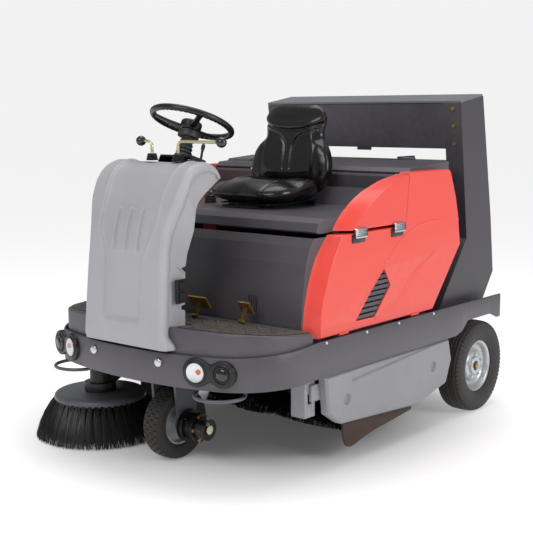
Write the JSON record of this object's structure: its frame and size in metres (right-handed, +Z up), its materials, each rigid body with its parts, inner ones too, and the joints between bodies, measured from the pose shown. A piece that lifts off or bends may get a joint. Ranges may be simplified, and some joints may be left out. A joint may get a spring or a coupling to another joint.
{
  "type": "ride-on sweeper",
  "caption": "Three-wheeled ride-on sweeper with a steered front drive wheel, side broom, main broom, driver's seat, hinged red side doors and a tipping debris hopper under a rear portal.",
  "frame": {"origin": "middle of the whole machine's footprint, on the ground; the machine's own centreline lies 70 mm to +X, because the side broom stands out on one side", "axes": "+X to the driver's left, +Y towards the rear, +Z up"},
  "size_m": [1.4339, 1.924, 1.4953],
  "materials": {
    "grey_paint": "dark grey textured powder coat",
    "light_grey_plastic": "light grey moulded plastic, fine grain",
    "red_plastic": "red moulded plastic, satin gloss",
    "black_plastic": "black moulded plastic",
    "black_steel": "black painted steel",
    "tread_rubber": "dark brown diamond tread rubber",
    "tyre_rubber": "black tyre rubber",
    "rim_steel": "silver painted steel disc",
    "clear_lens": "clear lamp lens",
    "bright_steel": "zinc plated steel",
    "brass": "yellow passivated fasteners and pedals",
    "seat_vinyl": "black moulded seat skin",
    "broom_bristle": "black bristles",
    "hopper_paint": "grey painted sheet steel",
    "filter_paper": "pleated filter paper",
    "engine_paint": "painted castings",
    "lid_paint": "grey textured powder coat",
    "skirt_plastic": "silver grey moulded plastic",
    "lever_finish": "yellow passivated steel rod"
  },
  "bodies": {
    "chassis": {"chassis_frame": "black_steel", "bumper_band": "grey_paint", "platform_tub": "grey_paint", "tread_mat": "tread_rubber", "front_cowl": "light_grey_plastic", "column_shroud": "light_grey_plastic", "switch_plate": "black_plastic", "lamp_housings": "black_plastic", "lamp_lenses": "clear_lens", "lamp_guards": "hopper_paint", "band_screws": "bright_steel", "seat_box": "grey_paint", "seat_deck": "grey_paint", "upper_side_panels": "red_plastic", "portal_frame": "grey_paint", "filter_box": "grey_paint", "panel_filter": "filter_paper", "portal_bolts": "brass", "rear_axle": "black_steel", "steering_column": "black_plastic", "lever_boots": "tyre_rubber", "seat_base": "black_steel", "side_skirts": "skirt_plastic", "power_pack": "engine_paint"},
    "fork": {"steering_fork": "black_steel", "drive_motor": "black_steel"},
    "front_wheel": {"front_tyre": "tyre_rubber", "front_rim": "black_steel"},
    "rear_wheel_left": {"rear_tyre_left": "tyre_rubber", "rear_rim_left": "rim_steel"},
    "rear_wheel_right": {"rear_tyre_right": "tyre_rubber", "rear_rim_right": "rim_steel"},
    "steering_wheel": {"steering_wheel": "black_plastic"},
    "column_stalk": {"column_stalk": "black_plastic"},
    "lever_left": {"lever_left": "lever_finish"},
    "lever_right": {"lever_right": "lever_finish"},
    "brake_lever": {"brake_lever": "lever_finish"},
    "rocker_upper": {"rocker_upper": "black_plastic"},
    "rocker_lower": {"rocker_lower": "black_plastic"},
    "accelerator": {"accelerator_pedal": "brass"},
    "brake_pedal": {"brake_pedal": "brass"},
    "seat": {"seat_cushion": "seat_vinyl", "seat_backrest": "seat_vinyl"},
    "engine_hood": {"engine_hood": "grey_paint"},
    "filter_lid": {"filter_lid": "lid_paint"},
    "door_left": {"side_door_left": "red_plastic", "door_grille_left": "black_plastic"},
    "door_right": {"side_door_right": "red_plastic", "door_grille_right": "black_plastic"},
    "latch_left_front": {"latch_left_front": "bright_steel"},
    "latch_left_rear": {"latch_left_rear": "bright_steel"},
    "latch_right_front": {"latch_right_front": "bright_steel"},
    "latch_right_rear": {"latch_right_rear": "bright_steel"},
    "hopper": {"hopper": "hopper_paint"},
    "lift_cylinder": {"lift_cylinders": "black_steel"},
    "lift_rod": {"lift_rods": "bright_steel"},
    "main_broom_arms": {"broom_arms": "black_steel"},
    "main_broom": {"main_broom": "broom_bristle"},
    "side_broom_arm": {"side_broom_arm": "black_steel"},
    "side_broom": {"side_broom": "broom_bristle"}
  },
  "joints": [
    {"name": "steer", "type": "hinge", "parent": "chassis", "child": "fork", "pos_m": [0.07, -0.674, 0.499], "axis": [0, 0, 1], "range_deg": [-70, 70]},
    {"name": "front_wheel_spin", "type": "hinge", "parent": "fork", "child": "front_wheel", "pos_m": [0.07, -0.674, 0.15], "axis": [1, 0, 0], "continuous": true},
    {"name": "rear_wheel_left_spin", "type": "hinge", "parent": "chassis", "child": "rear_wheel_left", "pos_m": [0.646, 0.737, 0.217], "axis": [1, 0, 0], "continuous": true},
    {"name": "rear_wheel_right_spin", "type": "hinge", "parent": "chassis", "child": "rear_wheel_right", "pos_m": [-0.506, 0.737, 0.217], "axis": [1, 0, 0], "continuous": true},
    {"name": "steering_wheel_turn", "type": "hinge", "parent": "chassis", "child": "steering_wheel", "pos_m": [0.07, -0.547, 1.378], "axis": [0, 0.3875, 0.9219], "range_deg": [-425, 425]},
    {"name": "column_stalk_turn", "type": "hinge", "parent": "chassis", "child": "column_stalk", "pos_m": [0.248, -0.688, 1.2282], "axis": [1, 0, 0], "range_deg": [-15, 15]},
    {"name": "lever_left_turn", "type": "hinge", "parent": "chassis", "child": "lever_left", "pos_m": [0.156, -0.718, 1.264], "axis": [1, 0, 0], "range_deg": [-12, 12]},
    {"name": "lever_right_turn", "type": "hinge", "parent": "chassis", "child": "lever_right", "pos_m": [0.01, -0.718, 1.264], "axis": [1, 0, 0], "range_deg": [-12, 12]},
    {"name": "brake_lever_pull", "type": "hinge", "parent": "chassis", "child": "brake_lever", "pos_m": [-0.23, -0.12, 1.052], "axis": [-1, 0, 0], "range_deg": [0, 40]},
    {"name": "rocker_upper_tip", "type": "hinge", "parent": "chassis", "child": "rocker_upper", "pos_m": [0.29784, -0.857, 0.766], "axis": [0, 1, 0], "range_deg": [-6, 6]},
    {"name": "rocker_lower_tip", "type": "hinge", "parent": "chassis", "child": "rocker_lower", "pos_m": [0.29784, -0.857, 0.724], "axis": [0, 1, 0], "range_deg": [-6, 6]},
    {"name": "accelerator_press", "type": "hinge", "parent": "chassis", "child": "accelerator", "pos_m": [0.18, -0.658, 0.60745], "axis": [1, 0, 0], "range_deg": [0, 18], "stiffness_Nm_per_rad": 6, "springref_deg": -14.32},
    {"name": "brake_pedal_press", "type": "hinge", "parent": "chassis", "child": "brake_pedal", "pos_m": [0.4, -0.624, 0.60448], "axis": [1, 0, 0], "range_deg": [0, 18], "stiffness_Nm_per_rad": 6, "springref_deg": -14.32},
    {"name": "seat_slide", "type": "slide", "parent": "chassis", "child": "seat", "axis": [0, 1, 0], "range_m": [-0.12, 0]},
    {"name": "engine_hood_open", "type": "hinge", "parent": "chassis", "child": "engine_hood", "pos_m": [0.07, 0.554, 1.197], "axis": [-1, 0, 0], "range_deg": [0, 50]},
    {"name": "filter_lid_open", "type": "hinge", "parent": "chassis", "child": "filter_lid", "pos_m": [0.07, 0.831, 1.49], "axis": [-1, 0, 0], "range_deg": [0, 95]},
    {"name": "door_left_open", "type": "hinge", "parent": "chassis", "child": "door_left", "pos_m": [0.691, 0.05, 0.5503], "axis": [0, 1, 0], "range_deg": [0, 75]},
    {"name": "door_right_open", "type": "hinge", "parent": "chassis", "child": "door_right", "pos_m": [-0.551, 0.05, 0.5503], "axis": [0, -1, 0], "range_deg": [0, 75]},
    {"name": "latch_left_front_flip", "type": "hinge", "parent": "door_left", "child": "latch_left_front", "pos_m": [0.6973, -0.242, 0.926], "axis": [0, 1, 0], "range_deg": [0, 110]},
    {"name": "latch_left_rear_flip", "type": "hinge", "parent": "door_left", "child": "latch_left_rear", "pos_m": [0.6973, 0.037, 0.926], "axis": [0, 1, 0], "range_deg": [0, 110]},
    {"name": "latch_right_front_flip", "type": "hinge", "parent": "door_right", "child": "latch_right_front", "pos_m": [-0.5573, -0.242, 0.926], "axis": [0, -1, 0], "range_deg": [0, 110]},
    {"name": "latch_right_rear_flip", "type": "hinge", "parent": "door_right", "child": "latch_right_rear", "pos_m": [-0.5573, 0.037, 0.926], "axis": [0, -1, 0], "range_deg": [0, 110]},
    {"name": "hopper_tip", "type": "hinge", "parent": "chassis", "child": "hopper", "pos_m": [0.07, 0.85, 1.12], "axis": [1, 0, 0], "range_deg": [0, 75]},
    {"name": "lift_cylinder_swing", "type": "hinge", "parent": "chassis", "child": "lift_cylinder", "pos_m": [0.07, 0.55, 0.56], "axis": [1, 0, 0], "range_deg": [-16, 0]},
    {"name": "lift_rod_slide", "type": "slide", "parent": "lift_cylinder", "child": "lift_rod", "axis": [0, 0.5547, 0.8321], "range_m": [0, 0.22]},
    {"name": "main_broom_lift", "type": "hinge", "parent": "chassis", "child": "main_broom_arms", "pos_m": [0.07, -0.28, 0.395], "axis": [-1, 0, 0], "range_deg": [0, 8]},
    {"name": "main_broom_spin", "type": "hinge", "parent": "main_broom_arms", "child": "main_broom", "pos_m": [0.07, 0.06, 0.152], "axis": [1, 0, 0], "continuous": true},
    {"name": "side_broom_lift", "type": "hinge", "parent": "chassis", "child": "side_broom_arm", "pos_m": [-0.435, -0.32, 0.345], "axis": [-1, 0, 0], "range_deg": [0, 8]},
    {"name": "side_broom_spin", "type": "hinge", "parent": "side_broom_arm", "child": "side_broom", "pos_m": [-0.435, -0.635, 0.2], "axis": [0, 0, 1], "continuous": true}
  ],
  "couplings": [
    {"joint": "steering_wheel_turn", "follows": "steer", "ratio": 6},
    {"joint": "lift_cylinder_swing", "follows": "hopper_tip", "ratio": -0.2},
    {"joint": "lift_rod_slide", "follows": "hopper_tip", "m_per_rad": 0.165}
  ]
}
